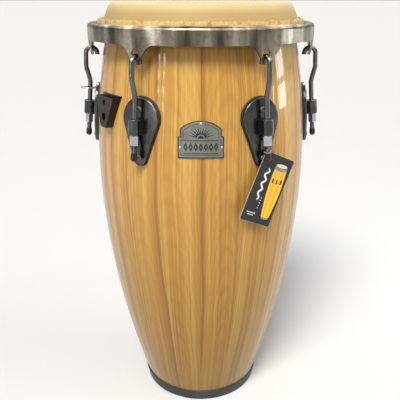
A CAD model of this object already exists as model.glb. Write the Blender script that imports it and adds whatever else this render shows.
"""Looks of the conga drum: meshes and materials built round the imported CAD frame, in metres."""

import math
import random

import bmesh
import bpy
from mathutils import Matrix, Vector, noise


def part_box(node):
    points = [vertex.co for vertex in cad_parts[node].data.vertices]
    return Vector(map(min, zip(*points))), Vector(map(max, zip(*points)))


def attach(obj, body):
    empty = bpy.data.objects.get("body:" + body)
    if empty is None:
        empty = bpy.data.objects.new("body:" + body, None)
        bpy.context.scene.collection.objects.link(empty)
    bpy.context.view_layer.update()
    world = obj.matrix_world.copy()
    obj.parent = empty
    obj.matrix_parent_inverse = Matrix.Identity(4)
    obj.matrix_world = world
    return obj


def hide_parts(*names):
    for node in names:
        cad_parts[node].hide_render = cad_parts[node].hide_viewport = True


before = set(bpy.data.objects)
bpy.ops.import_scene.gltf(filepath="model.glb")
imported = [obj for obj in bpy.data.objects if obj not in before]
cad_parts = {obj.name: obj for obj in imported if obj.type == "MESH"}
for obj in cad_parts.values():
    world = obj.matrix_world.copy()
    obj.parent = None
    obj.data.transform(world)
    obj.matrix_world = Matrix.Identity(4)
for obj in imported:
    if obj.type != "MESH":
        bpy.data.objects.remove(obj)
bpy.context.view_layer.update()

MM = 0.001
TURN = 2 * math.pi

# Barrel: the same curve as the staves of the frame
FOOT_R = 102 * MM
BELLY_R = 179 * MM
EDGE_R = 148.9 * MM
BELLY_Z = 450 * MM
BEARING_Z = 709 * MM
EDGE_ROUND = 11 * MM
EDGE_Z = BEARING_Z - EDGE_ROUND
BULGE = 1.9
WALL = 11 * MM
STAVE_COUNT = 18
STAVE_ANGLE = 360 / STAVE_COUNT

# Rod and lug places
LUG_COUNT = 6
LEAN = math.radians(5.5)
ROD_R = 193.2 * MM
LUG_Z = 538.8 * MM
ROD_BAR_R = 3.9 * MM
BOSS_H = 23 * MM
PLATE_T = 5 * MM
GASKET_T = 2.5 * MM
SCREW_Z = (563 * MM, 491 * MM)

# Head and rim
HOOP_R = 172.8 * MM
HOOP_Z = 663 * MM
SKIN_T = 2 * MM
RIM_R = 185 * MM
RIM_T = 3 * MM
RIM_LOW_Z = 653.5 * MM
TAB_TIP_Z = 626 * MM

BRACKET_ANGLE = -54


def shell_r(z):
    """Outer radius of the barrel at height z."""
    if z < BELLY_Z:
        return BELLY_R - (BELLY_R - FOOT_R) * ((BELLY_Z - z) / BELLY_Z) ** BULGE
    return BELLY_R - (BELLY_R - EDGE_R) * ((z - BELLY_Z) / (EDGE_Z - BELLY_Z)) ** BULGE


def lug_angle(i):
    return 360 / LUG_COUNT * (i - 0.5)


def at_angle(degrees):
    """Turns +X to point out of the drum at an angle from the badge, which faces -Y."""
    return Matrix.Rotation(math.radians(degrees - 90), 4, "Z")


def on_rod(i):
    """The frame of hook i's threaded leg: origin in the middle of its lug's boss, +Z up the rod."""
    place = Matrix.Translation((ROD_R, 0, LUG_Z)) @ Matrix.Rotation(-LEAN, 4, "Y")
    return at_angle(lug_angle(i)) @ place


# ---------------------------------------------------------------- mesh helpers


def add_object(name, data):
    obj = bpy.data.objects.new(name, data)
    bpy.context.scene.collection.objects.link(obj)
    return obj


def shade_smooth(mesh):
    mesh.polygons.foreach_set("use_smooth", [True] * len(mesh.polygons))


def sharpen(obj, angle):
    """Shades the edges sharper than angle, in degrees, as edges."""
    obj.data.set_sharp_from_angle(angle=math.radians(angle))


def make_object(name, verts, faces, smooth=True):
    mesh = bpy.data.meshes.new(name)
    mesh.from_pydata([tuple(v) for v in verts], [], faces)
    mesh.validate()
    bm = bmesh.new()
    bm.from_mesh(mesh)
    bmesh.ops.recalc_face_normals(bm, faces=bm.faces)
    bm.to_mesh(mesh)
    bm.free()
    if smooth:
        shade_smooth(mesh)
    return add_object(name, mesh)


def soften(obj, width, segments=2, angle=35):
    """Rounds the edges sharper than angle, and keeps flat faces flat in the shading."""
    bevel = obj.modifiers.new("bevel", "BEVEL")
    bevel.width = width
    bevel.segments = segments
    bevel.limit_method = "ANGLE"
    bevel.angle_limit = math.radians(angle)
    bevel.use_clamp_overlap = True
    return weigh(obj)


def weigh(obj):
    weighted = obj.modifiers.new("weighted", "WEIGHTED_NORMAL")
    weighted.keep_sharp = True
    return obj


def apply_modifiers(obj):
    """Turns the object's modifiers into plain mesh."""
    bpy.context.view_layer.update()
    evaluated = obj.evaluated_get(bpy.context.evaluated_depsgraph_get())
    mesh = bpy.data.meshes.new_from_object(evaluated)
    old = obj.data
    obj.modifiers.clear()
    obj.data = mesh
    mesh.name = old.name
    return obj


def subtract(obj, *cutters):
    """Cuts the cutters out of an object, and removes them."""
    for cutter in cutters:
        cut = obj.modifiers.new("cut", "BOOLEAN")
        cut.operation = "DIFFERENCE"
        cut.solver = "EXACT"
        cut.object = cutter
        apply_modifiers(obj)
        bpy.data.objects.remove(cutter)


def join(objects, name):
    """Joins objects into one, keeping each one's material."""
    for obj in objects:
        if obj.modifiers:
            apply_modifiers(obj)
    target = objects[0]
    if len(objects) > 1:
        with bpy.context.temp_override(
            active_object=target, object=target, selected_editable_objects=objects, selected_objects=objects
        ):
            bpy.ops.object.join()
    target.name = name
    target.data.name = name
    return target


def grid_faces(columns, rows, wrap_columns=False, wrap_rows=False):
    """Quads of a grid whose vertex (column, row) has the index column * rows + row."""
    faces = []
    for c in range(columns if wrap_columns else columns - 1):
        for r in range(rows if wrap_rows else rows - 1):
            c2, r2 = (c + 1) % columns, (r + 1) % rows
            faces.append((c * rows + r, c2 * rows + r, c2 * rows + r2, c * rows + r2))
    return faces


def lathe(name, profile, segments=180, closed=True, shift=None):
    """Turns (radius, height) points about the drum's axis. shift(angle, r, z) may move a point."""
    verts = []
    for s in range(segments):
        a = TURN * s / segments
        for r, z in profile:
            if shift:
                r, z = shift(a, r, z)
            verts.append((r * math.cos(a), r * math.sin(a), z))
    return make_object(name, verts, grid_faces(segments, len(profile), True, closed))


def spin(name, profile, matrix, segments=48, shift=None):
    """Turns a profile of (radius, height) points, from axis to axis, about the Z axis of matrix."""
    obj = lathe(name, profile, segments, closed=False, shift=shift)
    bm = bmesh.new()
    bm.from_mesh(obj.data)
    bmesh.ops.remove_doubles(bm, verts=bm.verts, dist=1e-6)
    bmesh.ops.recalc_face_normals(bm, faces=bm.faces)
    bm.to_mesh(obj.data)
    bm.free()
    obj.data.transform(matrix)
    return obj


def arc(centre, radius, a, b, n):
    """Points of an arc from angle a to angle b in degrees."""
    out = []
    for k in range(n + 1):
        t = math.radians(a + (b - a) * k / n)
        out.append((centre[0] + radius * math.cos(t), centre[1] + radius * math.sin(t)))
    return out


def fillet_path(points, radii, step=1.0 * MM):
    """A polyline through points in a plane, with an arc of the given radius at each inner corner."""
    pts = [Vector(p) for p in points]
    out = [pts[0]]
    for k in range(1, len(pts) - 1):
        back, ahead = (pts[k - 1] - pts[k]).normalized(), (pts[k + 1] - pts[k]).normalized()
        half = back.angle(ahead) / 2
        radius = radii[k - 1]
        if radius <= 0 or half > math.radians(89.9):
            out.append(pts[k])
            continue
        reach = radius / math.tan(half)
        start = pts[k] + back * reach
        centre = pts[k] + (back + ahead).normalized() * (radius / math.sin(half))
        sweep = math.pi - 2 * half
        n = max(3, int(sweep * radius / step))
        arm = start - centre
        sign = 1 if back.x * ahead.y - back.y * ahead.x < 0 else -1
        for j in range(n + 1):
            t = sign * sweep * j / n
            c, s = math.cos(t), math.sin(t)
            out.append(centre + Vector((arm.x * c - arm.y * s, arm.x * s + arm.y * c)))
    out.append(pts[-1])
    return out


def resample(points, step):
    """Points a step apart along a polyline of vectors."""
    out, carry = [points[0]], 0.0
    for a, b in zip(points, points[1:]):
        length = (b - a).length
        t = step - carry
        while t < length:
            out.append(a.lerp(b, t / length))
            t += step
        carry = length - (t - step)
    out.append(points[-1])
    return out


def tube(name, points, radius, sides=20, closed=False, end_round=0.0):
    """Sweeps a round bar along points. radius is a number, or a function of (length so far, angle)."""
    n = len(points)
    tangents = []
    for k in range(n):
        a = points[(k - 1) % n] if closed or k else points[0]
        b = points[(k + 1) % n] if closed or k < n - 1 else points[-1]
        tangents.append((b - a).normalized())
    normal = tangents[0].orthogonal().normalized()
    verts, run = [], 0.0
    total = sum((points[k + 1] - points[k]).length for k in range(n - 1))
    for k in range(n):
        if k:
            run += (points[k] - points[k - 1]).length
            normal = (normal - tangents[k] * normal.dot(tangents[k])).normalized()
        other = tangents[k].cross(normal)
        for s in range(sides):
            a = TURN * s / sides
            r = radius(run, a) if callable(radius) else radius
            if end_round and not closed:
                inside = min(run, total - run)
                if inside < end_round:
                    r -= end_round * (1 - math.sqrt(max(0.0, 1 - (1 - inside / end_round) ** 2)))
            verts.append(points[k] + (normal * math.cos(a) + other * math.sin(a)) * r)
    faces = grid_faces(n, sides, closed, True)
    if not closed:
        faces.append(tuple(range(sides)))
        faces.append(tuple(range((n - 1) * sides, n * sides)))
    return make_object(name, verts, faces)


def flat_solid(name, outline, holes=(), thickness=1.0 * MM, bevel=0.2 * MM, bevel_steps=2):
    """A plate lying on z = 0, with rounded edges, cut from an outline with holes."""
    curve = bpy.data.curves.new(name, "CURVE")
    curve.dimensions = "2D"
    curve.fill_mode = "BOTH"
    curve.extrude = thickness / 2 - bevel
    curve.bevel_depth = bevel
    curve.bevel_resolution = bevel_steps
    curve.offset = -bevel
    for ring in (outline, *holes):
        spline = curve.splines.new("POLY")
        spline.points.add(len(ring) - 1)
        for point, co in zip(spline.points, ring):
            point.co = (co[0], co[1], 0, 1)
        spline.use_cyclic_u = True
    holder = add_object(name, curve)
    bpy.context.view_layer.update()
    mesh = bpy.data.meshes.new_from_object(holder.evaluated_get(bpy.context.evaluated_depsgraph_get()))
    bpy.data.objects.remove(holder)
    bpy.data.curves.remove(curve)
    mesh.transform(Matrix.Translation((0, 0, thickness / 2)))
    shade_smooth(mesh)
    return add_object(name, mesh)


def bend(obj, place, spacing):
    """Slices a flat solid into a grid and puts each vertex (x, y, z) where place(x, y, z) says."""
    bm = bmesh.new()
    bm.from_mesh(obj.data)
    bmesh.ops.remove_doubles(bm, verts=bm.verts, dist=1e-7)
    for axis in (0, 1):
        low = min(v.co[axis] for v in bm.verts)
        high = max(v.co[axis] for v in bm.verts)
        count = max(1, int((high - low) / spacing))
        for k in range(1, count):
            point, normal = Vector((0, 0, 0)), Vector((0, 0, 0))
            point[axis] = low + (high - low) * k / count
            normal[axis] = 1
            geometry = bm.verts[:] + bm.edges[:] + bm.faces[:]
            bmesh.ops.bisect_plane(bm, geom=geometry, plane_co=point, plane_no=normal, dist=1e-7)
    for v in bm.verts:
        v.co = place(*v.co)
    bmesh.ops.recalc_face_normals(bm, faces=bm.faces)
    bm.to_mesh(obj.data)
    bm.free()
    shade_smooth(obj.data)
    return weigh(obj)


def on_barrel(angle, lift):
    """A place for bend(): x runs round the drum, y is the height, z stands off the barrel by lift + z."""
    turn = at_angle(angle)

    def place(x, y, z):
        r = shell_r(y) + lift + z
        return turn @ Vector((math.sqrt(max(0.0, r * r - x * x)), x, y))

    return place


def finish_piece(obj, body, slot, material, *nodes):
    """Gives a piece its material, its body and the CAD nodes that it stands for."""
    if material is not None:
        obj.data.materials.clear()
        obj.data.materials.append(material)
    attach(obj, body)
    if nodes:
        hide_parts(*nodes)
    return obj


# ------------------------------------------------------------ material helpers


class Shade:
    """A node material under construction."""

    def __init__(self, name, **constants):
        self.material = bpy.data.materials.new(name)
        self.material.use_nodes = True
        self.tree = self.material.node_tree
        self.bsdf = self.tree.nodes["Principled BSDF"]
        for key, value in constants.items():
            self.bsdf.inputs[key.replace("_", " ")].default_value = value

    def node(self, kind, **inputs):
        node = self.tree.nodes.new(kind)
        for key, value in inputs.items():
            self.feed(node.inputs[key.replace("_", " ")], value)
        return node

    def feed(self, socket, value):
        if isinstance(value, bpy.types.NodeSocket):
            self.tree.links.new(value, socket)
        else:
            socket.default_value = value

    def math(self, operation, a, b=0.0, clamp=False):
        node = self.tree.nodes.new("ShaderNodeMath")
        node.operation = operation
        node.use_clamp = clamp
        self.feed(node.inputs[0], a)
        self.feed(node.inputs[1], b)
        return node.outputs[0]

    def times(self, a, b, clamp=False):
        return self.math("MULTIPLY", a, b, clamp)

    def plus(self, a, b):
        return self.math("ADD", a, b)

    def minus(self, a, b, clamp=False):
        return self.math("SUBTRACT", a, b, clamp)

    def split(self, vector):
        node = self.node("ShaderNodeSeparateXYZ", Vector=vector)
        return node.outputs[0], node.outputs[1], node.outputs[2]

    def merge(self, x, y, z=0.0):
        return self.node("ShaderNodeCombineXYZ", X=x, Y=y, Z=z).outputs[0]

    def stretch(self, vector, scale, offset=(0, 0, 0)):
        node = self.node("ShaderNodeMapping", Vector=vector)
        node.inputs["Scale"].default_value = scale
        node.inputs["Location"].default_value = offset
        return node.outputs[0]

    def object_coordinates(self):
        return self.tree.nodes.new("ShaderNodeTexCoord").outputs["Object"]

    def uv(self, layer):
        node = self.tree.nodes.new("ShaderNodeUVMap")
        node.uv_map = layer
        return node.outputs[0]

    def noise(self, vector, scale=1.0, detail=2.0, roughness=0.5):
        sizes = {"Scale": scale, "Detail": detail, "Roughness": roughness}
        return self.node("ShaderNodeTexNoise", Vector=vector, **sizes).outputs["Fac"]

    def ramp(self, value, stops):
        node = self.node("ShaderNodeValToRGB", Fac=value)
        elements = node.color_ramp.elements
        while len(elements) < len(stops):
            elements.new(0.5)
        for element, (at, colour) in zip(elements, stops):
            element.position = at
            element.color = (*colour, 1) if hasattr(colour, "__len__") else (colour, colour, colour, 1)
        return node.outputs["Color"]

    def mix(self, fac, a, b, blend="MIX"):
        node = self.tree.nodes.new("ShaderNodeMix")
        node.data_type = "RGBA"
        node.blend_type = blend
        for socket, value in ((node.inputs[0], fac), (node.inputs[6], a), (node.inputs[7], b)):
            if isinstance(value, tuple):
                value = (*value, 1)
            self.feed(socket, value)
        return node.outputs[2]

    def bump(self, height, distance, strength=1.0):
        node = self.node("ShaderNodeBump", Height=height)
        node.inputs["Distance"].default_value = distance
        node.inputs["Strength"].default_value = strength
        return node.outputs[0]

    def done(self, colour=None, roughness=None, normal=None):
        if colour is not None:
            self.feed(self.bsdf.inputs["Base Color"], colour)
        if roughness is not None:
            self.feed(self.bsdf.inputs["Roughness"], roughness)
        if normal is not None:
            self.feed(self.bsdf.inputs["Normal"], normal)
        return self.material


# ------------------------------------------------------------------- materials

HONEY_DARK = (0.46, 0.22, 0.045)
HONEY = (0.60, 0.325, 0.066)
HONEY_PALE = (0.70, 0.44, 0.12)
HEARTWOOD = (0.24, 0.075, 0.014)
STAIN = (0.54, 0.50, 0.28)


def wood_material(index, tone, heart, cathedral):
    """Lacquered stave: long streaks, fine pores, a darker heartwood edge and a cathedral figure.

    tone shifts the stave from dark (-1) to pale (+1). heart is (position across in metres, strength).
    cathedral is (centre across, height of its tip, strength)."""
    shade = Shade(f"stave_wood_{index}", Coat_Weight=0.75, Coat_Roughness=0.05, Coat_IOR=1.4, IOR=1.3)
    u, z, _ = shade.split(shade.uv("grain"))
    seed = index * 7.31

    def stretched(x, x_scale, z_scale, offset):
        """Noise coordinates: x and the height, scaled, in a slice of their own."""
        return shade.merge(shade.times(x, x_scale), shade.times(z, z_scale), seed + offset)

    sway = shade.noise(stretched(u, 6, 3.1, 0), detail=2)
    ripple = shade.noise(stretched(u, 14, 11, 3), detail=1)
    shift = shade.times(shade.minus(sway, 0.5), 0.022)
    shift = shade.plus(shift, shade.times(shade.minus(ripple, 0.5), 0.0022))
    across = shade.plus(u, shift)

    def streaks(across_scale, along_scale, offset, detail=2.0):
        vector = stretched(across, across_scale, along_scale, offset)
        return shade.noise(vector, detail=detail, roughness=0.55)

    broad = streaks(48, 0.8, 11)
    middle = streaks(260, 1.6, 17, 3)
    fine = streaks(720, 8, 23, 3)
    pores = streaks(1900, 45, 29, 1)
    # Growth rings cut at a slant: nested arches about a long ellipse
    dx = shade.times(shade.minus(across, cathedral[0]), 9.5)
    dz = shade.minus(z, cathedral[1] - 0.55)
    reach = shade.math("SQRT", shade.plus(shade.math("POWER", dx, 2), shade.math("POWER", dz, 2)))
    rings = shade.math("SINE", shade.times(reach, 150 + 11 * (index % 4)))
    rings = shade.math("POWER", shade.plus(shade.times(rings, 0.5), 0.5), 3)
    figure = shade.times(rings, cathedral[2])

    value = shade.plus(shade.times(broad, 0.5), shade.times(middle, 0.5))
    value = shade.plus(value, shade.times(fine, 0.28))
    value = shade.minus(value, 0.14)
    value = shade.plus(value, 0.055 * tone)
    colour = shade.ramp(value, [(0.36, HONEY_DARK), (0.5, HONEY), (0.64, HONEY_PALE)])
    colour = shade.mix(figure, colour, HEARTWOOD)
    near = shade.math("ABSOLUTE", shade.minus(across, heart[0]))
    band = shade.minus(1.0, shade.math("DIVIDE", near, 0.0045), clamp=True)
    band = shade.times(shade.times(band, heart[1]), shade.plus(middle, 0.25))
    colour = shade.mix(band, colour, HEARTWOOD)
    thin = shade.ramp(streaks(420, 1.1, 41, 1), [(0.6, 0.0), (0.72, 0.3)])
    colour = shade.mix(thin, colour, HEARTWOOD)
    dashes = shade.ramp(pores, [(0.66, 0.0), (0.76, 0.32)])
    colour = shade.mix(dashes, colour, HONEY_DARK)
    side, _, _ = shade.split(shade.uv("across"))
    seam = shade.minus(shade.math("ABSOLUTE", shade.minus(side, 0.5)), 0.488)
    seam = shade.times(seam, 40, clamp=True)
    colour = shade.mix(seam, colour, HEARTWOOD)
    low = shade.minus(1.0, shade.math("DIVIDE", z, 0.45), clamp=True)
    colour = shade.mix(low, colour, STAIN, "MULTIPLY")
    height = shade.plus(shade.times(fine, 0.6), shade.times(dashes, -0.8))
    gloss = shade.ramp(middle, [(0.3, 0.42), (0.7, 0.3)])
    return shade.done(colour, gloss, shade.bump(height, 0.00012, 0.5))


def inner_wood_material():
    """Sanded bare wood of the hoops inside the shell."""
    shade = Shade("inner_wood")
    grain = shade.noise(shade.stretch(shade.object_coordinates(), (30, 30, 600)), detail=3)
    colour = shade.ramp(grain, [(0.3, (0.3, 0.17, 0.07)), (0.7, (0.48, 0.31, 0.14))])
    return shade.done(colour, 0.7, shade.bump(grain, 0.0003))


def hide_material():
    """Dry rawhide: mottled cream, fine pores and fibres, paler where it is stretched over the edge."""
    shade = Shade("rawhide", Subsurface_Weight=0.12, Subsurface_Scale=0.004, IOR=1.45, Sheen_Weight=0.1)
    shade.bsdf.inputs["Subsurface Radius"].default_value = (1.0, 0.6, 0.3)
    place = shade.object_coordinates()
    cloud = shade.noise(place, scale=22, detail=4, roughness=0.6)
    fleck = shade.noise(place, scale=420, detail=2)
    pore = shade.noise(place, scale=1500, detail=1)
    _, _, z = shade.split(place)
    lifted = shade.math("DIVIDE", shade.minus(z, 0.694), 0.012, clamp=True)
    side = shade.mix(cloud, (0.385, 0.25, 0.075), (0.48, 0.33, 0.115))
    top = shade.mix(cloud, (0.60, 0.45, 0.20), (0.70, 0.54, 0.26))
    colour = shade.mix(lifted, side, top)
    colour = shade.mix(shade.ramp(fleck, [(0.58, 0.0), (0.74, 0.35)]), colour, (0.5, 0.3, 0.1))
    height = shade.plus(shade.times(fleck, 0.7), shade.times(pore, 0.3))
    return shade.done(colour, shade.ramp(cloud, [(0.3, 0.5), (0.7, 0.66)]), shade.bump(height, 0.0004, 0.7))


def tuck_material():
    """Cut edge of the hide: fibrous, yellow-cream with amber spots."""
    shade = Shade("rawhide_tuck", Subsurface_Weight=0.15, Subsurface_Scale=0.003)
    place = shade.object_coordinates()
    cloud = shade.noise(place, scale=75, detail=4, roughness=0.7)
    fibre = shade.noise(shade.stretch(place, (500, 500, 160)), detail=3, roughness=0.6)
    amber, straw, cream = (0.50, 0.25, 0.05), (0.66, 0.44, 0.14), (0.76, 0.57, 0.24)
    colour = shade.ramp(cloud, [(0.36, amber), (0.44, straw), (0.66, cream)])
    colour = shade.mix(shade.ramp(fibre, [(0.5, 0.0), (0.7, 0.4)]), colour, (0.9, 0.78, 0.5))
    return shade.done(colour, 0.62, shade.bump(fibre, 0.0008, 0.8))


def metal_material(
    name, colour, roughness, spread=0.1, grain=(60, 60, 900), coat=0.0, tint=None, metallic=1.0
):
    """Plated metal: slight patches in the colour, fine brushing and wear in the gloss."""
    shade = Shade(name, Metallic=metallic, Coat_Weight=coat, Coat_Roughness=0.05)
    place = shade.object_coordinates()
    cloud = shade.noise(place, scale=38, detail=4, roughness=0.6)
    brush = shade.noise(shade.stretch(place, grain), detail=3)
    pit = shade.noise(place, scale=900, detail=2)
    other = tint or tuple(c * 0.72 for c in colour)
    base = shade.mix(shade.ramp(cloud, [(0.35, 0.0), (0.7, 1.0)]), colour, other)
    rough = shade.plus(shade.times(brush, spread), roughness - spread / 2)
    rough = shade.plus(rough, shade.times(cloud, spread / 2))
    height = shade.plus(shade.times(brush, 0.7), shade.times(pit, 0.3))
    return shade.done(base, rough, shade.bump(height, 0.00004, 0.6))


def rubber_material(name, colour, roughness=0.5):
    shade = Shade(name, IOR=1.5, Specular_IOR_Level=0.5)
    place = shade.object_coordinates()
    cloud = shade.noise(place, scale=30, detail=4)
    grit = shade.noise(place, scale=1300, detail=2)
    dust = tuple(min(1.0, c * 1.9 + 0.012) for c in colour)
    base = shade.mix(shade.ramp(cloud, [(0.4, 0.0), (0.75, 1.0)]), colour, dust)
    rough = shade.ramp(cloud, [(0.3, roughness), (0.7, roughness + 0.15)])
    return shade.done(base, rough, shade.bump(grit, 0.0002, 0.6))


def plastic_material(name, colour, roughness):
    shade = Shade(name, IOR=1.5)
    place = shade.object_coordinates()
    grit = shade.noise(place, scale=1600, detail=2)
    cloud = shade.noise(place, scale=90, detail=3)
    base = shade.mix(cloud, colour, tuple(min(1.0, c * 1.35) for c in colour))
    rough = shade.ramp(cloud, [(0.3, roughness), (0.7, roughness + 0.1)])
    return shade.done(base, rough, shade.bump(grit, 0.00008, 0.5))


def card_material(name, colour, roughness=0.3, coat=0.4):
    """Coated card with a faint fibre texture."""
    shade = Shade(name, Coat_Weight=coat, Coat_Roughness=0.12)
    place = shade.object_coordinates()
    fibre = shade.noise(shade.stretch(place, (900, 900, 500)), detail=3)
    cloud = shade.noise(place, scale=60, detail=3)
    base = shade.mix(cloud, colour, tuple(min(1.0, c * 1.25 + 0.002) for c in colour))
    rough = shade.ramp(fibre, [(0.3, roughness), (0.7, roughness + 0.12)])
    return shade.done(base, rough, shade.bump(fibre, 0.00004, 0.5))


RUBBER = rubber_material("foot_rubber", (0.012, 0.016, 0.021), 0.42)
GASKET_RUBBER = rubber_material("gasket_rubber", (0.008, 0.008, 0.009), 0.5)
HIDE = hide_material()
TUCK = tuck_material()
INNER_WOOD = inner_wood_material()


def rim_material():
    """Black nickel worn through in broad upright patches, brushed round the drum."""
    shade = Shade("rim_black_nickel", Metallic=1.0)
    place = shade.object_coordinates()
    patch = shade.noise(shade.stretch(place, (34, 34, 6), (3, 1, 0)), detail=3, roughness=0.55)
    soil = shade.noise(place, scale=90, detail=4, roughness=0.65)
    brush = shade.noise(shade.stretch(place, (140, 140, 2400)), detail=3)
    plated, thin, worn = (0.075, 0.066, 0.05), (0.2, 0.18, 0.14), (0.40, 0.37, 0.31)
    base = shade.ramp(patch, [(0.36, plated), (0.5, thin), (0.64, worn)])
    base = shade.mix(shade.ramp(soil, [(0.5, 0.0), (0.75, 0.5)]), base, (0.06, 0.05, 0.04))
    rough = shade.plus(shade.times(brush, 0.14), 0.22)
    return shade.done(base, rough, shade.bump(brush, 0.00004, 0.6))


RIM_METAL = rim_material()
HOOK_METAL = metal_material("hook_black_nickel", (0.15, 0.145, 0.15), 0.24, 0.08, (400, 400, 40))
NUT_METAL = metal_material("nut_bright_nickel", (0.56, 0.58, 0.63), 0.1, 0.08)
LUG_METAL = metal_material(
    "lug_black_nickel", (0.085, 0.088, 0.08), 0.22, 0.12, coat=0.6, tint=(0.035, 0.036, 0.034)
)
SCREW_METAL = metal_material("screw_steel", (0.2, 0.19, 0.18), 0.3, 0.1)
ZINC = metal_material("zinc_steel", (0.6, 0.6, 0.58), 0.35, 0.15)
WIRE_METAL = metal_material("loop_steel", (0.5, 0.45, 0.42), 0.25, 0.1)
BRACKET_METAL = metal_material(
    "bracket_bronze_black", (0.05, 0.04, 0.033), 0.4, 0.16, coat=0.15, tint=(0.024, 0.02, 0.017)
)
PEWTER = metal_material(
    "badge_pewter", (0.26, 0.27, 0.23), 0.4, 0.16, (300, 300, 300), tint=(0.17, 0.19, 0.16)
)
BADGE_DARK = metal_material("badge_dark_enamel", (0.028, 0.03, 0.036), 0.4, 0.1, metallic=0.3)
CAP_PLASTIC = plastic_material("cap_black", (0.004, 0.004, 0.004), 0.28)
LOOP_PLASTIC = plastic_material("loop_nylon", (0.35, 0.35, 0.34), 0.3)
CARD_BLACK = card_material("tag_black", (0.004, 0.005, 0.005), 0.5, 0.1)
CARD_EDGE = card_material("tag_core", (0.55, 0.54, 0.5), 0.7)
CARD_WHITE = card_material("tag_white", (0.78, 0.8, 0.8))
CARD_ORANGE = card_material("tag_orange", (0.84, 0.36, 0.008))
CARD_YELLOW = card_material("tag_yellow", (0.93, 0.54, 0.03))
CARD_CREAM = card_material("tag_cream", (0.80, 0.62, 0.36))
CARD_STEEL = card_material("tag_steel", (0.20, 0.22, 0.19))

# ---------------------------------------------------------------------- camera

CAMERA_DISTANCE = 0.9437
CAMERA_HEIGHT = 0.7125
CAMERA_PITCH = math.radians(20.24)

camera_data = bpy.data.cameras.new("camera")
camera_data.sensor_width = 36
camera_data.lens = 48.82
camera = add_object("camera", camera_data)
camera.location = (-0.0012, -CAMERA_DISTANCE, CAMERA_HEIGHT)
camera.rotation_euler = (math.pi / 2 - CAMERA_PITCH, 0, 0)
bpy.context.scene.camera = camera


# ---------------------------------------------------------------------- staves

# How each stave differs: (tone, heartwood place and strength, cathedral centre, tip height, strength)
STAVE_LOOKS = {
    1: (-0.1, (-0.0285, 0.9), (0.011, 0.575, 0.16)),
    2: (0.15, (-0.006, 0.7), (0.03, 0.63, 0.14)),
    3: (0.5, (0.03, 0.2), (0.02, 0.3, 0.12)),
    18: (0.45, (0.03, 0.25), (-0.02, 0.2, 0.1)),
    17: (0.05, (0.022, 0.8), (-0.01, 0.5, 0.08)),
    16: (0.1, (-0.006, 0.7), (0.01, 0.35, 0.1)),
}
random.seed(18)


def stave_look(i):
    look = (
        random.uniform(-0.5, 0.6),
        (random.uniform(-0.025, 0.025), random.uniform(0.1, 0.6)),
        (random.uniform(-0.02, 0.02), random.uniform(0.25, 0.65), random.uniform(0.05, 0.3)),
    )
    return STAVE_LOOKS.get(i, look)


def stave(i):
    """One stave, from its foot to the rounded bearing edge, with a hair-fine bevel along both joints."""
    rows, columns, groove = 72, 12, 0.12 * MM
    z0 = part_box(f"stave_{i}")[0].z
    heights = [z0 + (EDGE_Z - z0) * k / rows for k in range(rows + 1)]
    outer = [(shell_r(z), z) for z in heights]
    outer += arc((EDGE_R - EDGE_ROUND, EDGE_Z), EDGE_ROUND, 12, 90, 8)
    inner = [(shell_r(z) - WALL, z) for z in heights]
    top_in = EDGE_R - WALL - 2.5 * MM
    inner += [(top_in, EDGE_Z + (BEARING_Z - EDGE_Z) * (k + 1) / 9 * 0.85) for k in range(9)]
    count = len(outer)
    start = (i - 1) * STAVE_ANGLE
    sides = [0, 0.008] + [k / columns for k in range(1, columns)] + [0.992, 1]
    verts, grain, across = [], [], []
    for s in sides:
        angle = math.radians(start + s * STAVE_ANGLE)
        dip = groove if s in (0, 1) else 0
        for ring, shift in ((outer, -dip), (inner, 0)):
            for r, z in ring:
                radius = r + shift
                verts.append((radius * math.sin(angle), -radius * math.cos(angle), z))
                mid = math.radians((s - 0.5) * STAVE_ANGLE)
                grain.append((mid * math.sqrt(r * BELLY_R), z))
                across.append((s, z))
    rows_all = 2 * count
    faces = []
    for c in range(len(sides) - 1):
        a, b = c * rows_all, (c + 1) * rows_all
        for k in range(count - 1):
            faces.append((a + k, b + k, b + k + 1, a + k + 1))
            faces.append((a + count + k, a + count + k + 1, b + count + k + 1, b + count + k))
        faces.append((a, a + count, b + count, b))
        faces.append((a + count - 1, b + count - 1, b + 2 * count - 1, a + 2 * count - 1))
    for a in (0, (len(sides) - 1) * rows_all):
        for k in range(count - 1):
            faces.append((a + k, a + k + 1, a + count + k + 1, a + count + k))
    obj = make_object(f"stave_wood_{i}", verts, faces)
    mesh = obj.data
    for layer_name, values in (("grain", grain), ("across", across)):
        layer = mesh.uv_layers.new(name=layer_name)
        for loop in mesh.loops:
            layer.data[loop.index].uv = values[loop.vertex_index]
    sharpen(obj, 40)
    tone, heart, cathedral = stave_look(i)
    finish_piece(obj, "shell", "wood", wood_material(i, tone, heart, cathedral), f"stave_{i}")


for index in range(1, STAVE_COUNT + 1):
    stave(index)

# ------------------------------------------------------- shapes shared by parts


def ribbon(path, thickness):
    """Closed profile of a strip of even thickness along a line of 2D points."""
    sides = []
    for side in (1, -1):
        row = []
        for k, p in enumerate(path):
            a, b = path[max(0, k - 1)], path[min(len(path) - 1, k + 1)]
            along = (Vector(b) - Vector(a)).normalized()
            row.append((p[0] - side * along.y * thickness / 2, p[1] + side * along.x * thickness / 2))
        sides.append(row)
    return sides[0] + sides[1][::-1]


def round_polygon(points, radii, step=0.6 * MM):
    """A closed polygon with rounded corners."""
    pts = [Vector(p) for p in points]
    mid = (pts[-1] + pts[0]) / 2
    radii = radii if hasattr(radii, "__len__") else [radii] * len(pts)
    path = fillet_path([mid, *pts, mid], radii, step)
    return [tuple(p) for p in path[:-1]]


def rectangle(x0, y0, x1, y1):
    return [(x0, y0), (x1, y0), (x1, y1), (x0, y1)]


def circle(x, y, r, n=32):
    return [(x + r * math.cos(TURN * k / n), y + r * math.sin(TURN * k / n)) for k in range(n)]


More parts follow.
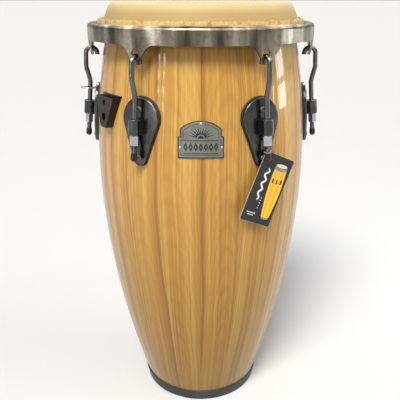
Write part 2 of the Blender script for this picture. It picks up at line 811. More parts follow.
def hexagon_r(a, across_flats, corner_cut=0.2 * MM):
    """Radius of a hexagon in direction a, with its corners slightly worn."""
    d = (a + math.pi / 6) % (math.pi / 3) - math.pi / 6
    return min(across_flats / 2 / math.cos(d), across_flats / math.sqrt(3) - corner_cut)


def across(z, angle, radius):
    """The frame of a screw through the barrel, at a radius and a height: +Z points out of the drum."""
    return at_angle(angle) @ Matrix.Translation((radius, 0, z)) @ Matrix.Rotation(math.pi / 2, 4, "Y")


def socket_screw(name, matrix, head_r, head_h, length, dome=0.35):
    """Button-head screw with a hexagon socket. The origin is under its head."""
    socket_af, depth = head_r * 0.78, head_h * 0.62
    shank_r = 2.5 * MM
    edge = 0.35 * MM
    profile = [(0, -length), (shank_r - edge, -length), (shank_r, -length + edge), (shank_r, 0)]
    profile += [(head_r - edge, 0), (head_r, edge), (head_r, head_h * 0.45)]
    crown = arc((0, 0), 1, 0, 90, 6)
    rise = head_h * (0.55 - dome * 0.2)
    low = head_h - rise
    inner = socket_af / 2 + 0.55 * MM
    profile += [(inner + (head_r - inner) * c, low + rise * s) for c, s in crown[1:]]
    socket = [(socket_af / 2 + 0.15 * MM, head_h - 0.05 * MM), (socket_af / 2, head_h - 0.3 * MM)]
    socket.append((socket_af / 2, head_h - depth))
    profile += [*socket, (0, head_h - depth - 0.3 * MM)]

    def shift(a, r, z):
        if (r, z) in socket:
            return r * 2 / socket_af * hexagon_r(a, socket_af, 0), z
        return r, z

    obj = spin(name, profile, matrix, 48, shift)
    sharpen(obj, 40)
    return obj


# ---------------------------------------------------- foot ring and inner hoops

RING_H = 22 * MM
RING_R = 106.8 * MM
RING_FLOOR = 8 * MM


def foot_ring():
    lip_z = RING_H - 4 * MM
    lip = 3 * MM
    inside = WALL + 0.2 * MM
    corners = [
        ((shell_r(0) - WALL - lip, 0), 1.2 * MM),
        ((RING_R - 0.2 * MM, 0), 2.2 * MM),
        ((shell_r(RING_H) + 1.6 * MM, RING_H - 2.2 * MM), 2 * MM),
        ((shell_r(RING_H) + 1.1 * MM, RING_H), 0.9 * MM),
        ((shell_r(RING_H) + 0.1 * MM, RING_H), 0.2 * MM),
        ((shell_r(RING_FLOOR) + 0.1 * MM, RING_FLOOR), 0.2 * MM),
        ((shell_r(RING_FLOOR) - inside, RING_FLOOR), 0.2 * MM),
        ((shell_r(lip_z) - inside, lip_z), 0.8 * MM),
        ((shell_r(lip_z) - WALL - lip, lip_z), 1.2 * MM),
    ]
    profile = round_polygon([c[0] for c in corners], [c[1] for c in corners], 0.25 * MM)

    def shift(a, r, z):
        worn = noise.noise(Vector((math.cos(a) * 3, math.sin(a) * 3, z * 40))) * 0.12 * MM
        return (r + worn if r > shell_r(z) else r), z

    obj = lathe("foot_ring_rubber", profile, 240, shift=shift)
    sharpen(obj, 50)
    finish_piece(obj, "shell", "rubber", RUBBER, "foot_ring")


def inner_hoop(name, node):
    low, high = (corner.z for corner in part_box(node))
    t, gap = 8 * MM, 0.3 * MM
    corners = [
        (shell_r(low) - WALL - t, low),
        (shell_r(low) - WALL - gap, low),
        (shell_r(high) - WALL - gap, high),
        (shell_r(high) - WALL - t, high),
    ]
    obj = lathe(name, round_polygon(corners, 1.6 * MM), 240)
    finish_piece(obj, "shell", "wood", INNER_WOOD, node)


foot_ring()
inner_hoop("hoop_upper", "upper_inner_hoop")
inner_hoop("hoop_lower", "lower_inner_hoop")

# ------------------------------------------------------------------------ head

HEAD_Z = BEARING_Z + SKIN_T
ROLL_C = (140.5 * MM, 701.5 * MM)
ROLL_R = 9.5 * MM
COLLAR = 24.5
TUCK_Z = 685.5 * MM
TUCK_R = 167.6 * MM
TUCK_LOW_Z = 674 * MM
WRAP_R = 4.93 * MM
HIDE_STEPS = 600


def head():
    """Hide over the bearing edge, down to and round the flesh hoop, and up to its trimmed edge."""
    half = SKIN_T / 2
    path = [(0.0005 + k * (ROLL_C[0] - 0.0005) / 14, HEAD_Z - half) for k in range(14)]
    path += arc(ROLL_C, ROLL_R - half, 90, COLLAR, 10)
    slope = math.radians(COLLAR)
    start = Vector(path[-1])
    end = Vector((HOOP_R - WRAP_R * math.cos(slope), HOOP_Z - WRAP_R * math.sin(slope)))
    path += [tuple(start.lerp(end, k / 16)) for k in range(1, 16)]
    path += arc((HOOP_R, HOOP_Z), WRAP_R, 180 + COLLAR, 360 + 112, 26)
    first_tuck = len(path)
    s, e = Vector(path[-1]), Vector((TUCK_R, TUCK_LOW_Z))
    for k in range(1, 7):
        t = k / 6
        path.append((s.x + (e.x - s.x) * math.sin(t * math.pi / 2), s.y + (e.y - s.y) * t))
    path += [(TUCK_R, e.y + (TUCK_Z - e.y) * k / 8) for k in range(1, 9)]
    profile = ribbon(path, SKIN_T - 0.1 * MM)
    tuck_low = path[first_tuck][1]

    def shift(a, r, z):
        ring = Vector((math.cos(a), math.sin(a), 0))
        if r > 165 * MM and z > tuck_low:
            up = (z - tuck_low) / (TUCK_Z - tuck_low)
            rag = noise.noise(ring * 9) * 0.9 + noise.noise(ring * 38) * 1.1
            rag += noise.noise(ring * 140) * 1.2
            lean = noise.noise(ring * 14 + Vector((5, 0, 0))) * 0.9 + noise.noise(ring * 50) * 0.35
            return r + (lean - 0.9) * up * up * MM, z + (rag - 0.6) * up * up * MM
        if r > 30 * MM and z > HOOP_Z:
            swell = noise.noise(ring * 6 + Vector((0, 0, z * 30))) * 0.16
            pleat = noise.noise(ring * 60 + Vector((0, 0, z * 8))) * 0.1
            low = min(1.0, max(0.0, (HEAD_Z - z) / (HEAD_Z - HOOP_Z)))
            return r + (swell + pleat * low) * MM * min(1.0, low * 6), z
        return r, z

    obj = lathe("hide_skin", profile, HIDE_STEPS, shift=shift)
    mesh = obj.data
    mesh.materials.append(HIDE)
    mesh.materials.append(TUCK)
    rows = len(profile)
    for polygon in mesh.polygons:
        inside = [v % rows for v in polygon.vertices]
        if all(first_tuck <= k < rows - first_tuck for k in inside):
            polygon.material_index = 1
    sharpen(obj, 60)
    finish_piece(obj, "shell", "hide", None, "hide_head")


head()

hoop_bar = lathe("flesh_hoop_bar", circle(HOOP_R, HOOP_Z, 3.9 * MM, 16), 180)
finish_piece(hoop_bar, "shell", "zinc_steel", ZINC, "flesh_hoop")

# ------------------------------------------------------------------------- rim

RIM_ROLL = 7.25 * MM
RIM_ROLL_C = (RIM_R - RIM_ROLL, 672.5 * MM)
RIM_LIP_Z = 669.2 * MM
TAB_SLOPE = math.radians(33)
TAB_FILLET = 16 * MM
TAB_TIP_R = 5.5 * MM
BAND_TOP_Z = 659 * MM
BAND_ROWS = 9
# Below this height the tabs curl in towards the barrel: by TAB_CURL over TAB_CURL_H
TAB_CURL_Z = 642 * MM
TAB_CURL_H = 16 * MM
TAB_CURL = 1.6 * MM
KEYHOLE_Z, KEYHOLE_R = 641.8 * MM, 6.2 * MM
SLOT_Z, SLOT_R = 637.7 * MM, 4.4 * MM


def tab_low(x):
    """Height of the rim's lower edge at a distance x along it from the middle of a tab."""
    x = abs(x)
    tip_c = TAB_TIP_Z + TAB_TIP_R
    edge_x = TAB_TIP_R * math.cos(TAB_SLOPE)
    fillet_z = RIM_LOW_Z - TAB_FILLET
    fillet_x = TAB_TIP_R / math.cos(TAB_SLOPE) + (fillet_z - tip_c) * math.tan(TAB_SLOPE)
    fillet_x += TAB_FILLET / math.cos(TAB_SLOPE)
    touch_x = fillet_x - TAB_FILLET * math.cos(TAB_SLOPE)
    if x < edge_x:
        return tip_c - math.sqrt(TAB_TIP_R**2 - x * x)
    if x < touch_x:
        return tip_c - TAB_TIP_R * math.sin(TAB_SLOPE) + (x - edge_x) / math.tan(TAB_SLOPE)
    if x < fillet_x:
        return fillet_z + math.sqrt(TAB_FILLET**2 - (fillet_x - x) ** 2)
    return RIM_LOW_Z


def rim_angles():
    """Angles of the rim's columns: close together on the tabs."""
    near = [k * 0.5 * MM for k in range(0, 22)] + [k * 0.8 * MM for k in range(14, 46)]
    offsets = sorted({round(math.degrees(math.asin(x / RIM_R)), 5) for x in near})
    out = []
    for i in range(1, LUG_COUNT + 1):
        middle = lug_angle(i)
        out += [middle - o for o in offsets[:0:-1]] + [middle + o for o in offsets]
        last = offsets[-1]
        gap = 360 / LUG_COUNT - 2 * last
        count = int(gap / 0.7)
        out += [middle + last + gap * k / count for k in range(1, count)]
    return out


def keyhole():
    """Outline of a tab's hole: round above, with a narrower round end below for the hook."""
    meet = math.sqrt(KEYHOLE_R**2 - SLOT_R**2)
    b = math.degrees(math.atan2(-meet, SLOT_R))
    return arc((0, KEYHOLE_Z), KEYHOLE_R, b, 180 - b, 40) + arc((0, SLOT_Z), SLOT_R, 180, 360, 20)[1:-1]


def rim():
    band_r = RIM_R - RIM_T / 2
    upper = [(band_r, BAND_TOP_Z), (band_r, 663 * MM), (band_r, 668 * MM)]
    upper += arc(RIM_ROLL_C, RIM_ROLL - RIM_T / 2, 0, 180, 22)
    upper += [(RIM_ROLL_C[0] - RIM_ROLL + RIM_T / 2, RIM_LIP_Z)]
    angles = rim_angles()
    verts = []
    rows = 2 * (BAND_ROWS + len(upper))
    for angle in angles:
        nearest = (angle % (360 / LUG_COUNT)) - 180 / LUG_COUNT
        low = tab_low(RIM_R * math.sin(math.radians(nearest)))
        path = [(band_r, low + (BAND_TOP_Z - low) * k / BAND_ROWS) for k in range(BAND_ROWS)] + upper
        a = math.radians(angle)
        ring = Vector((math.cos(a), math.sin(a), 0))
        ding = noise.noise(ring * 12) * 0.12 * MM
        for r, z in ribbon(path, RIM_T):
            if z < TAB_CURL_Z:
                r -= ((TAB_CURL_Z - z) / TAB_CURL_H) ** 2 * TAB_CURL
            r += ding
            verts.append((r * math.sin(a), -r * math.cos(a), z))
    obj = make_object("rim_band", verts, grid_faces(len(angles), rows, True, True))
    outline, cutters = keyhole(), []
    n = len(outline)
    for i in range(1, LUG_COUNT + 1):
        ring = []
        for depth in (RIM_R - 12 * MM, RIM_R + 8 * MM):
            ring += [at_angle(lug_angle(i)) @ Vector((depth, x, z)) for x, z in outline]
        faces = [tuple(range(n)), tuple(range(n, 2 * n))]
        faces += [(k, (k + 1) % n, n + (k + 1) % n, n + k) for k in range(n)]
        cutters.append(make_object(f"keyhole_{i}", ring, faces, smooth=False))
    subtract(obj, join(cutters, "keyholes"))
    soften(obj, 0.55 * MM, 3, 50)
    apply_modifiers(obj)
    finish_piece(obj, "rim", "rim_metal", RIM_METAL, "rim")


rim()

# ----------------------------------------------------------- hooks, nuts, caps

KNEE = (188.9 * MM, 583 * MM)
SHOULDER = (194.6 * MM, 607 * MM)
HOOK_C = (183.8 * MM, 628.5 * MM)
HOOK_BEND = 9.5 * MM
HOOK_TIP_Z = 626.5 * MM
ROD_END = 48 * MM
PITCH = 1.411 * MM
THREAD_LENGTH = 58 * MM
THREAD_DEPTH = 0.62 * MM


def thread_r(run, a):
    """Radius of the rod: a helical thread on its lower part, fading into the plain bar."""
    if run > THREAD_LENGTH + 2 * PITCH:
        return ROD_BAR_R
    phase = (run / PITCH - a / TURN) % 1
    groove = max(0.0, min(1.0, 1.25 - abs(phase - 0.5) * 3.2))
    fade = min(1.0, max(0.0, (THREAD_LENGTH + 2 * PITCH - run) / (2 * PITCH)))
    return ROD_BAR_R - 0.02 * MM - THREAD_DEPTH * groove * fade


def hook(i):
    """J-hook: thread, two easy bends, and the bend through the rim's keyhole."""
    foot = Vector((ROD_R + ROD_END * math.sin(LEAN), LUG_Z - ROD_END * math.cos(LEAN)))
    out_x = HOOK_C[0] + HOOK_BEND
    flat = fillet_path([foot, KNEE, SHOULDER, (out_x, HOOK_C[1])], [26 * MM, 22 * MM])
    flat += [Vector(p) for p in arc(HOOK_C, HOOK_BEND, 4, 180, 26)]
    flat.append(Vector((HOOK_C[0] - HOOK_BEND, HOOK_TIP_Z)))
    thread_path = resample(flat, PITCH / 9)
    keep = int((THREAD_LENGTH + 2.5 * PITCH) / (PITCH / 9))
    rest = resample(thread_path[keep:], 1.1 * MM)
    path = thread_path[:keep] + rest
    turned = at_angle(lug_angle(i))
    points = [turned @ Vector((p.x, 0, p.y)) for p in path]
    obj = tube(f"hook_bar_{i}", points, thread_r, 24, end_round=0.9 * MM)
    finish_piece(obj, f"hook_{i}", "hook_metal", HOOK_METAL, f"hook_{i}")


NUT_AF = 12.7 * MM
NUT_H = 15.4 * MM
NUT_TOP = -BOSS_H / 2 - 0.1 * MM


def nut_profile(across_flats, height, bore, chamfer):
    """Profile of a hexagon nut with turned chamfers, and the shift that makes it six-sided."""
    corner = across_flats / math.sqrt(3)
    flat = across_flats / 2
    rows = [0, 0.25, 0.5, 0.75, 1]
    outer = [(corner, chamfer + (height - 2 * chamfer) * k) for k in rows]
    slope = [(corner - chamfer * 1.9 * (1 - k / 6), chamfer * k / 6) for k in range(6)]
    top = [(r, height - z) for r, z in slope[::-1]]
    lead = 0.5 * MM
    profile = [(bore, lead), (bore + lead, 0), (flat * 0.9, 0), *slope, *outer, *top]
    profile += [(flat * 0.9, height), (bore + lead, height), (bore, height - lead)]

    def shift(a, r, z):
        if r > flat * 0.95:
            return min(r, hexagon_r(a, across_flats)), z
        return r, z

    return profile, shift


def nut(i):
    profile, shift = nut_profile(NUT_AF, NUT_H, ROD_BAR_R + 0.07 * MM, 0.9 * MM)
    obj = lathe(f"nut_hexagon_{i}", profile, 120, shift=shift)
    obj.data.transform(on_rod(i) @ Matrix.Translation((0, 0, NUT_TOP - NUT_H)))
    sharpen(obj, 24)
    finish_piece(obj, f"nut_{i}", "nut_metal", NUT_METAL, f"tuning_nut_{i}")


CAP_R = 5.2 * MM
CAP_TOP = -38 * MM
CAP_BALL = -46 * MM


def cap(i):
    """Moulded ball cap with a rolled mouth, pressed on the end of the rod."""
    ball = arc((0, CAP_BALL), CAP_R, -90, 8, 20)
    mouth = CAP_R - 0.7 * MM
    side = [(CAP_R - 0.25 * MM, CAP_BALL + 3 * MM), (mouth + 0.1 * MM, CAP_TOP - 1.2 * MM)]
    lip = arc((mouth - 0.45 * MM, CAP_TOP - 0.5 * MM), 0.5 * MM, 0, 150, 6)
    bore = [(ROD_BAR_R + 0.02 * MM, CAP_TOP - 0.6 * MM), (ROD_BAR_R + 0.02 * MM, -ROD_END - 0.05 * MM)]
    profile = ball + side + lip + bore + [(0, -ROD_END - 0.1 * MM)]
    obj = spin(f"cap_ball_{i}", profile, on_rod(i), 48)
    sharpen(obj, 55)
    finish_piece(obj, f"hook_{i}", "cap_plastic", CAP_PLASTIC, f"rod_cap_{i}")


# ------------------------------------------------------------------------ lugs

PLATE_TOP = (31 * MM, 549 * MM)
PLATE_LOW = (10.5 * MM, 489 * MM)
VENT = (2 * MM, 514 * MM)
SCREW_HOLE = 2.8 * MM


def teardrop(margin):
    s = math.degrees(math.asin((PLATE_TOP[0] - PLATE_LOW[0]) / (PLATE_TOP[1] - PLATE_LOW[1])))
    top = arc((0, PLATE_TOP[1]), PLATE_TOP[0] + margin, -s, 180 + s, 60)
    return top + arc((0, PLATE_LOW[1]), PLATE_LOW[0] + margin, 180 + s, 360 - s, 28)


def boss_outline():
    """The boss from above: round in front, straight back to the plate behind."""
    r, half, back = 9.3 * MM, 8.5 * MM, -13.4 * MM
    a = math.degrees(math.asin(half / r))
    return arc((0, 0), r, -a, a, 40) + [(back, half), (back, -half)]


def lug(i):
    angle = lug_angle(i)
    holes = [circle(0, z, SCREW_HOLE) for z in SCREW_Z] + [circle(0, VENT[1], VENT[0])]
    plate = flat_solid(f"lug_plate_{i}", teardrop(0), holes, PLATE_T, 1.35 * MM, 4)
    bend(plate, on_barrel(angle, GASKET_T), 4 * MM)
    boss = flat_solid(f"lug_boss_{i}", boss_outline(), [circle(0, 0, 4.6 * MM, 40)], BOSS_H, 1.1 * MM, 4)
    boss.data.transform(on_rod(i) @ Matrix.Translation((0, 0, -BOSS_H / 2)))
    weigh(boss)
    for part in (plate, boss):
        part.data.materials.append(LUG_METAL)
    seat = shell_r(VENT[1]) + GASKET_T + PLATE_T - 0.1 * MM
    eyelet = lathe("vent_eyelet", circle(2.25 * MM, 0, 0.42 * MM, 12), 40)
    eyelet.data.transform(across(VENT[1], angle, seat))
    eyelet.data.materials.append(SCREW_METAL)
    obj = join([plate, boss, eyelet], f"lug_cast_{i}")
    finish_piece(obj, "shell", "lug_metal", None, f"lug_{i}")


def lug_gaskets():
    parts = []
    for i in range(1, LUG_COUNT + 1):
        holes = [circle(0, z, SCREW_HOLE) for z in SCREW_Z]
        part = flat_solid(f"gasket_{i}", teardrop(1.4 * MM), holes, GASKET_T - 0.02 * MM, 0.5 * MM, 2)
        parts.append(bend(part, on_barrel(lug_angle(i), 0.01 * MM), 4 * MM))
    finish_piece(join(parts, "gaskets"), "shell", "rubber", GASKET_RUBBER, "lug_gaskets")


def lug_screws():
    parts = []
    for i in range(1, LUG_COUNT + 1):
        for z in SCREW_Z:
            seat = shell_r(z) + GASKET_T + PLATE_T - 0.05 * MM
            reach = GASKET_T + PLATE_T + WALL + 10 * MM
            parts.append(socket_screw("screw", across(z, lug_angle(i), seat), 4.4 * MM, 2.9 * MM, reach))
    finish_piece(join(parts, "lug_socket_screws"), "shell", "lug_metal", SCREW_METAL, "lug_screws")


for index in range(1, LUG_COUNT + 1):
    hook(index)
    nut(index)
    cap(index)
    lug(index)
lug_gaskets()
lug_screws()

# ------------------------------------------------------------ inside hardware

BRACKET_SCREW_Z = (565 * MM, 543 * MM)


def screw_places():
    places = [(lug_angle(i), z) for i in range(1, LUG_COUNT + 1) for z in SCREW_Z]
    return places + [(BRACKET_ANGLE, z) for z in BRACKET_SCREW_Z]


def inward(angle, z, depth):
    """The frame of a nut inside the barrel: +Z points at the drum's axis, off the wood by depth."""
    radius = shell_r(z) - WALL - depth
    return at_angle(angle) @ Matrix.Translation((radius, 0, z)) @ Matrix.Rotation(-math.pi / 2, 4, "Y")


def inside_hardware():
    washers, nuts, strips = [], [], []
    for angle, z in screw_places():
        ring = round_polygon(rectangle(2.6 * MM, 0, 5.5 * MM, 1 * MM), 0.25 * MM, 0.1 * MM)
        washer = lathe("washer", ring, 40)
        washer.data.transform(inward(angle, z, 2.7 * MM))
        washers.append(washer)
        profile, shift = nut_profile(7.97 * MM, 4 * MM, 2.55 * MM, 0.35 * MM)
        small = lathe("small_nut", profile, 72, shift=shift)
        small.data.transform(inward(angle, z, 3.8 * MM))
        sharpen(small, 24)
        nuts.append(small)
    spans = [(lug_angle(i), 481 * MM, 573 * MM, SCREW_Z) for i in range(1, LUG_COUNT + 1)]
    spans.append((BRACKET_ANGLE, 533 * MM, 575 * MM, BRACKET_SCREW_Z))
    for angle, low, high, holes in spans:
        half = 8 * MM
        outline = round_polygon(rectangle(-half, low, half, high), 3 * MM)
        strip = flat_solid("strip", outline, [circle(0, z, SCREW_HOLE) for z in holes], 2 * MM, 0.3 * MM, 2)
        strips.append(bend(strip, on_barrel(angle, -WALL - 2.3 * MM), 5 * MM))
    finish_piece(join(washers, "washers"), "shell", "zinc_steel", ZINC, "inner_washers")
    finish_piece(join(nuts, "small_nuts"), "shell", "zinc_steel", ZINC, "inner_nuts")
    finish_piece(join(strips, "backing_strips"), "shell", "zinc_steel", ZINC, "backing_plates")


inside_hardware()

# ----------------------------------------------------------------------- badge

BADGE_HALF = 33.8 * MM
BADGE_LOW, BADGE_MID, BADGE_SHOULDER = 495 * MM, 527 * MM, 538 * MM
ARCH_HALF = 30.2 * MM
ARCH_RISE = 12 * MM
PIN_PLACES = ((9.9, 511 * MM), (-9.9, 511 * MM), (0, 546 * MM))


def badge_outline(inset):
    """Plate with square ears and an arched top."""
    rise = ARCH_RISE
    radius = (ARCH_HALF**2 + rise**2) / (2 * rise)
    centre = BADGE_SHOULDER + rise - radius
    half = ARCH_HALF - inset
    a = math.degrees(math.acos(half / (radius - inset)))
    low, mid, ear = BADGE_LOW + inset, BADGE_MID - inset, BADGE_HALF - inset
    outline = [(-ear, low), (ear, low), (ear, mid), (half, mid)]
    outline += arc((0, centre), radius - inset, a, 180 - a, 30)
    return outline + [(-half, mid), (-ear, mid)]


def badge():
    """Dark plate with a raised pewter panel, inlaid with a line, rays, bars and diamonds."""
    base = flat_solid("badge_base", badge_outline(0), (), 1.5 * MM, 0.35 * MM, 3)
    bend(base, on_barrel(0, 0.1 * MM), 3 * MM)
    base.data.materials.append(BADGE_DARK)
    parts = [base]

    def layer(outline, material, holes=(), lift=1.85 * MM, thick=0.14 * MM, edge=0.05 * MM):
        part = flat_solid("badge_layer", outline, holes, thick, edge, 2)
        bend(part, on_barrel(0, lift), 3 * MM)
        part.data.materials.append(material)
        parts.append(part)

    layer(badge_outline(1.5 * MM), PEWTER, (), 1.3 * MM, 0.6 * MM, 0.28 * MM)
    layer(badge_outline(4.4 * MM), BADGE_DARK, [badge_outline(5 * MM)])
    bar_half, bar_height = 25.5 * MM, 1.3 * MM
    for z in (501.6 * MM, 520.6 * MM):
        layer(rectangle(-bar_half, z, bar_half, z + bar_height), BADGE_DARK)
    for k in range(-3, 4):
        x, z, w, h = k * 7.4 * MM, 511.8 * MM, 3.3 * MM, 6.6 * MM
        hollow = [(x, z - 2.6 * MM), (x - 1.1 * MM, z), (x, z + 2.6 * MM), (x + 1.1 * MM, z)]
        layer([(x, z - h), (x + w, z), (x, z + h), (x - w, z)], BADGE_DARK, [hollow])
    sun = (0, 524.5 * MM)
    layer(arc(sun, 4.4 * MM, 0, 180, 18), BADGE_DARK)
    for k in range(1, 12):
        a = math.pi * k / 12
        reach = min(20 * MM, 16.5 * MM / max(0.3, math.sin(a)))
        along, side = Vector((math.cos(a), math.sin(a))), Vector((-math.sin(a), math.cos(a)))
        root, half = Vector(sun) + along * 6 * MM, side * 1.1 * MM
        layer([tuple(root - half), tuple(Vector(sun) + along * reach), tuple(root + half)], BADGE_DARK)
    finish_piece(join(parts, "badge_plate"), "shell", "badge_metal", None, "badge")
    pins = []
    for angle, z in PIN_PLACES:
        dome = [(2.1 * MM * c, 1.3 * MM * s) for c, s in arc((0, 0), 1, 0, 90, 8)]
        profile = [(0, -7.7 * MM), (0.8 * MM, -7.7 * MM), (1.2 * MM, -7.2 * MM), (1.2 * MM, 0), *dome]
        pins.append(spin("pin", profile, across(z, angle, shell_r(z) + 1.75 * MM), 32))
        sharpen(pins[-1], 50)
    finish_piece(join(pins, "badge_pins"), "shell", "badge_metal", NUT_METAL, "badge_rivets")


badge()

# --------------------------------------------------------------- stand bracket

BRACKET_LOW, BRACKET_TOP, BRACKET_BACK_TOP = 525.5 * MM, 572.5 * MM, 576.5 * MM
BRACKET_HALF_LOW, BRACKET_HALF_TOP = 8.5 * MM, 28.5 * MM
BRACKET_T = 2 * MM
SLOPE_Z = 549 * MM
SLOPE = math.radians(5.76)
BRACKET_DEPTH = 12 * MM
BRACKET_FACE = shell_r(SLOPE_Z) + BRACKET_DEPTH
HOLE_HIGH_R, HOLE_LOW_R = 4.2 * MM, 6 * MM


def prism(name, outline, near, far, corner_r=0.0):
    """Solid between two distances from the drum's axis, in a frame whose +X points out of the drum."""
    if corner_r:
        outline = round_polygon(outline, corner_r)
    n = len(outline)
    verts = [(near, x, z) for x, z in outline] + [(far, x, z) for x, z in outline]
    faces = [tuple(range(n)), tuple(range(n, 2 * n))]
    faces += [(k, (k + 1) % n, n + (k + 1) % n, n + k) for k in range(n)]
    return make_object(name, verts, faces, smooth=False)


def barrel_wedge(name, lift):
    """Solid piece of the barrel, off its surface by lift, wide enough to trim the bracket."""
    columns, rows = 24, 20
    verts = []
    for c in range(columns + 1):
        a = math.radians(-18 + 36 * c / columns)
        profile = [(90 * MM, 500 * MM)]
        for k in range(rows + 1):
            z = 500 * MM + 100 * MM * k / rows
            profile.append((shell_r(z) + lift, z))
        profile.append((90 * MM, 600 * MM))
        verts += [(r * math.cos(a), r * math.sin(a), z) for r, z in profile]
    n = rows + 3
    faces = grid_faces(columns + 1, n, False, True)
    faces += [tuple(range(n)), tuple(range(columns * n, (columns + 1) * n))]
    return make_object(name, verts, faces, smooth=False)


def bracket_outline(inset, top):
    """Tapered outline, set in from its sides and its bottom, up to the height top."""
    low = BRACKET_LOW + inset
    spread = (BRACKET_HALF_TOP - BRACKET_HALF_LOW) / (BRACKET_TOP - BRACKET_LOW)
    a = BRACKET_HALF_LOW - inset
    b = a + spread * (top - low)
    return [(-a, low), (a, low), (b, top), (-b, top)]


def on_slope(obj):
    """Leans an object back to lie along the barrel behind the bracket."""
    pivot = Vector((shell_r(SLOPE_Z), 0, SLOPE_Z))
    lean_back = Matrix.Rotation(-SLOPE, 4, "Y")
    obj.data.transform(Matrix.Translation(pivot) @ lean_back @ Matrix.Translation(-pivot))
    return obj


def stand_bracket():
    """Folded steel pocket, open at the top, with a hole in front of each of its two screws."""
    near = 150 * MM
    outside = bracket_outline(0, BRACKET_BACK_TOP)
    body = on_slope(prism("bracket_body", outside, near, BRACKET_FACE, 0.8 * MM))
    inside = bracket_outline(BRACKET_T, BRACKET_BACK_TOP + 6 * MM)
    pocket = on_slope(prism("pocket", inside, near, BRACKET_FACE - BRACKET_T, 1.2 * MM))
    half, top = 40 * MM, BRACKET_TOP
    above = rectangle(-half, top, half, top + 12 * MM)
    mouth = on_slope(prism("mouth", above, near, BRACKET_FACE + 5 * MM))
    for cutter in (pocket, mouth):
        subtract(cutter, barrel_wedge("back", BRACKET_T))
    subtract(body, barrel_wedge("wood", 0.2 * MM), pocket, mouth)
    high, low = BRACKET_SCREW_Z
    front = shell_r(SLOPE_Z) + BRACKET_T + 2 * MM
    subtract(
        body,
        prism("hole_high", circle(0, high, HOLE_HIGH_R), front, 200 * MM),
        prism("hole_low", circle(0, low, HOLE_LOW_R), front, 200 * MM),
        prism("screw_high", circle(0, high, SCREW_HOLE), near, front),
        prism("screw_low", circle(0, low, SCREW_HOLE), near, front),
    )
    shade_smooth(body.data)
    soften(body, 0.5 * MM, 3, 40)
    body.data.transform(at_angle(BRACKET_ANGLE))
    body = join([body], "bracket_pocket")
    finish_piece(body, "shell", "bracket_metal", BRACKET_METAL, "stand_bracket")
    screws = []
    for z in BRACKET_SCREW_Z:
        seat = shell_r(z) + BRACKET_T + 0.1 * MM
        reach = BRACKET_T + WALL + 10 * MM
        screws.append(socket_screw("screw", across(z, BRACKET_ANGLE, seat), 4 * MM, 1.8 * MM, reach))
    finish_piece(join(screws, "bracket_socket_screws"), "shell", "zinc_steel", ZINC, "bracket_screws")


stand_bracket()

# ------------------------------------------------------------------- wire loop


def wire_loop():
    """Ring of wire, fixed to the shell, round the threaded leg of the left-hand hook."""
    loop_r, wire_r, steps = 12.3 * MM, 1.2 * MM, 96
    centre = Matrix.Translation((192.9 * MM, 0, 571.5 * MM))
    tilt = Matrix.Rotation(math.radians(-2), 4, "Y") @ Matrix.Rotation(math.radians(4), 4, "X")
    place = at_angle(lug_angle(LUG_COUNT - 1)) @ centre @ tilt
    ring = [place @ Vector((x, y, 0)) for x, y in circle(0, 0, loop_r, steps)]
    obj = tube("loop_wire", ring, wire_r, 16, closed=True)
    finish_piece(obj, "shell", "zinc_steel", WIRE_METAL, "wire_loop")


wire_loop()

# -------------------------------------------------------------------- hang tag

TAG_W, TAG_L, TAG_T = 60 * MM, 110 * MM, 0.7 * MM
TAG_INSET = 8 * MM
TAG_HOLE = (6.5 * MM, 493 * MM)
TAG_R = 190.2 * MM
TAG_ANGLE = 30
TAG_LEAN = math.atan((TAG_W / 2 - TAG_INSET) / (TAG_L / 2 - TAG_INSET))


def tag_place(lift):
    """A place for bend(): x and y run over the card from its lower left corner, z stands off its face."""
    turn = at_angle(TAG_ANGLE)

    def place(x, y, z):
        u, v = x - TAG_INSET, y - TAG_L + TAG_INSET
        c, s = math.cos(-TAG_LEAN), math.sin(-TAG_LEAN)
        curl = 1.6 * MM * ((y - TAG_L) / TAG_L) ** 2 * (2 * x / TAG_W - 1) ** 2
        sideways, up = TAG_HOLE[0] + u * c - v * s, TAG_HOLE[1] + u * s + v * c
        return turn @ Vector((TAG_R + lift + z + curl, sideways, up))

    return place


PICTURE_TOP, PICTURE_FOOT = Vector((40.2 * MM, 96.8 * MM)), Vector((46.2 * MM, 11 * MM))
PICTURE_STAVES = 7


def picture_half(t):
    """Half the width of the printed drum, a fraction t of the way down it."""
    belly_t = 0.36
    if t < belly_t:
        return 13.2 * MM - 1.6 * MM * ((belly_t - t) / belly_t) ** 2
    return 13.2 * MM - 6.2 * MM * ((t - belly_t) / (1 - belly_t)) ** 1.8


